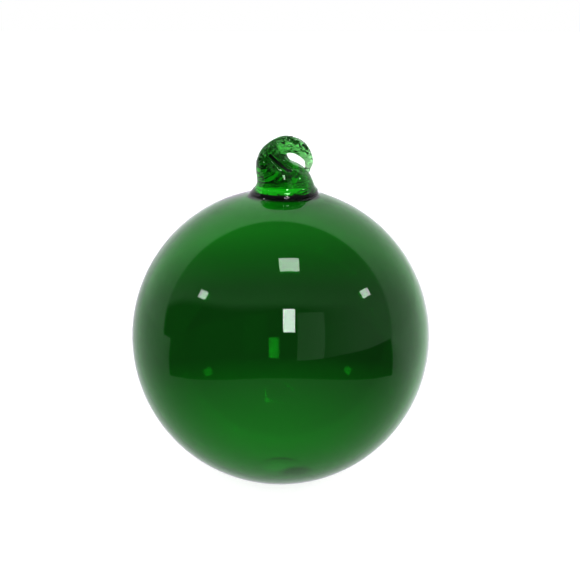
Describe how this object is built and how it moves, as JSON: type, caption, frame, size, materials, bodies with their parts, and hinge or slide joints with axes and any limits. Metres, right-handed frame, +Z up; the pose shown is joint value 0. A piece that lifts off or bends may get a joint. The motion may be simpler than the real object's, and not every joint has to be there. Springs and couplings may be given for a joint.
{
  "type": "glass ornament ball",
  "caption": "Blown ball of clear green glass with an applied glass hook curled into a small hanging eye; stands on a flat spot or hangs by a thread.",
  "frame": {"origin": "middle of the flat spot under the ball", "axes": "+Z up through the ball's middle, +X the way the hook curls, -Y towards the picture's camera"},
  "size_m": [0.08, 0.08, 0.0938],
  "materials": {
    "ball_glass": "clear deep green blown glass, polished",
    "hook_glass": "clear green glass, drawn hot, polished"
  },
  "bodies": {
    "root": {"ball": "ball_glass", "hook": "hook_glass"}
  },
  "joints": []
}
